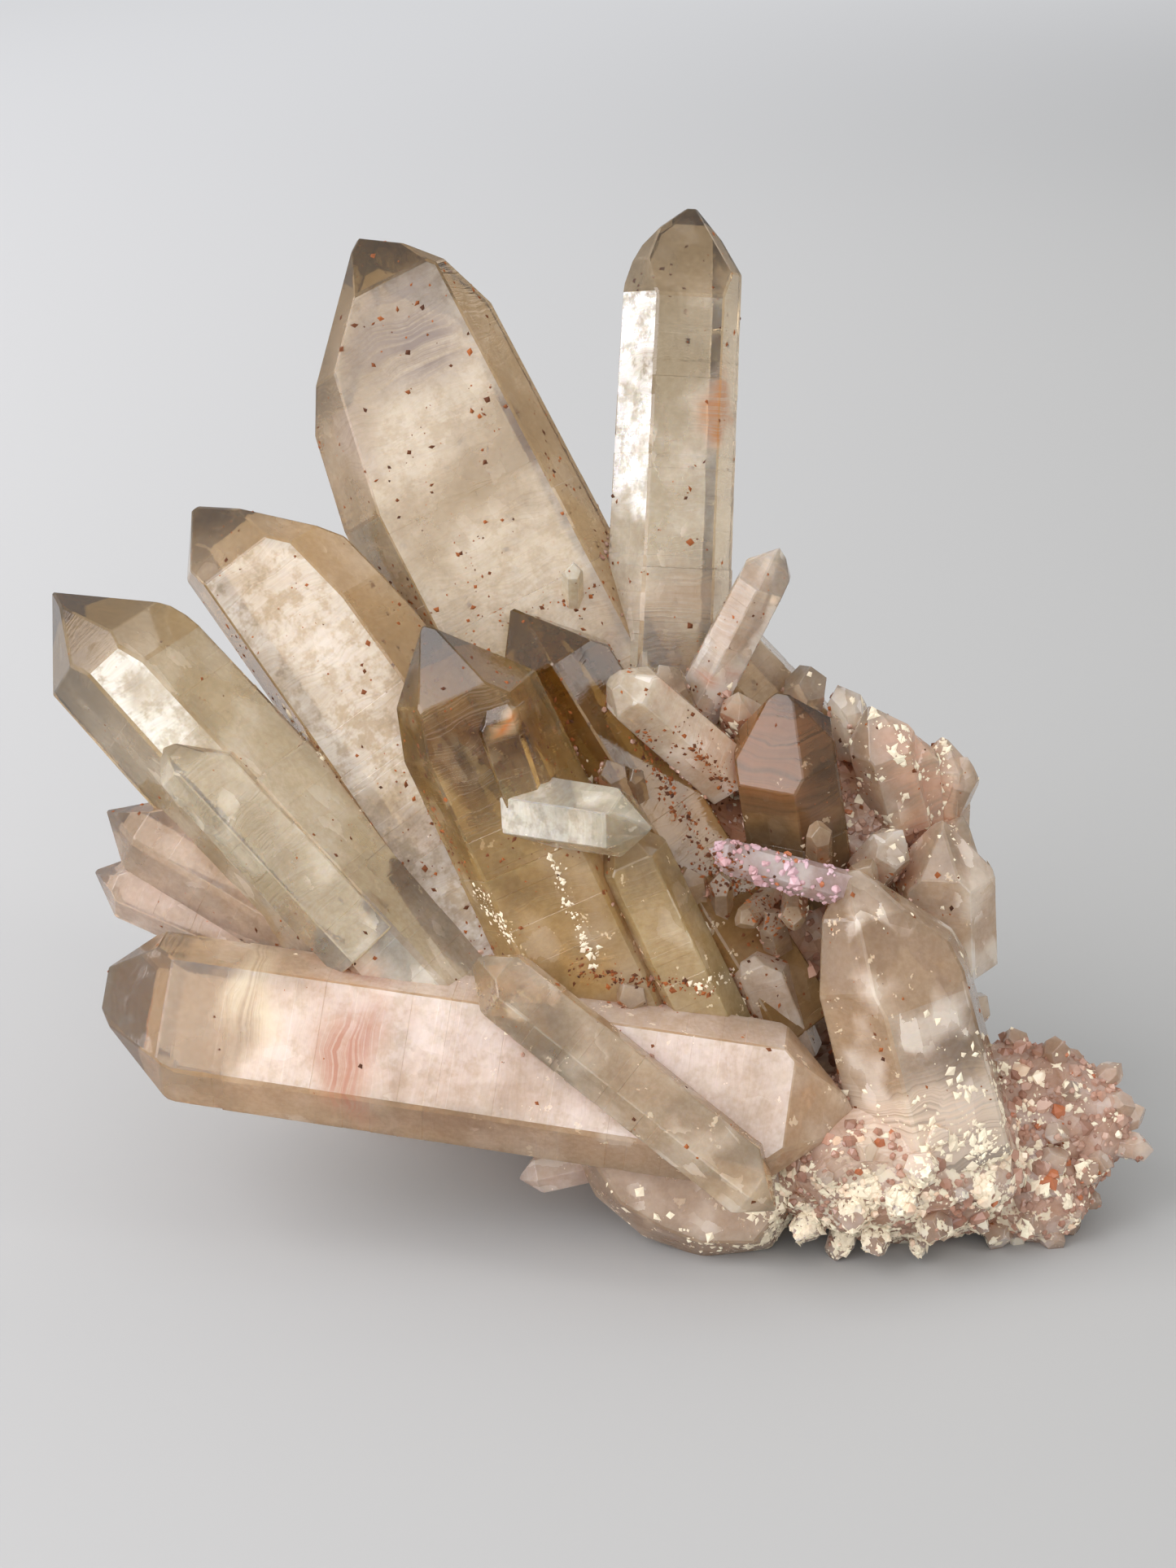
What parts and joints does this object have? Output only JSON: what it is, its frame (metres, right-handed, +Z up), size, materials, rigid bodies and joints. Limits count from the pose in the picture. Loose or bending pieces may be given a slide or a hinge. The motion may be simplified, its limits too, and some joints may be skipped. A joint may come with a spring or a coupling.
{
  "type": "citrine quartz crystal cluster",
  "caption": "Smoky citrine quartz cluster: long six-sided crystals with pointed ends fan up and left out of a rough druse-covered root. A specimen that rests on its worn feet.",
  "frame": {"origin": "middle of the bounding box's bottom, on the surface that the cluster rests on", "axes": "+X to the right of the display face, which looks along -Y and leans back from upright by 20 degrees; +Z up"},
  "size_m": [0.1495, 0.0842, 0.1293],
  "materials": {
    "citrine": "natural crystal faces, clear to milky"
  },
  "bodies": {
    "root": {"crystal_cluster": "citrine"}
  },
  "joints": []
}
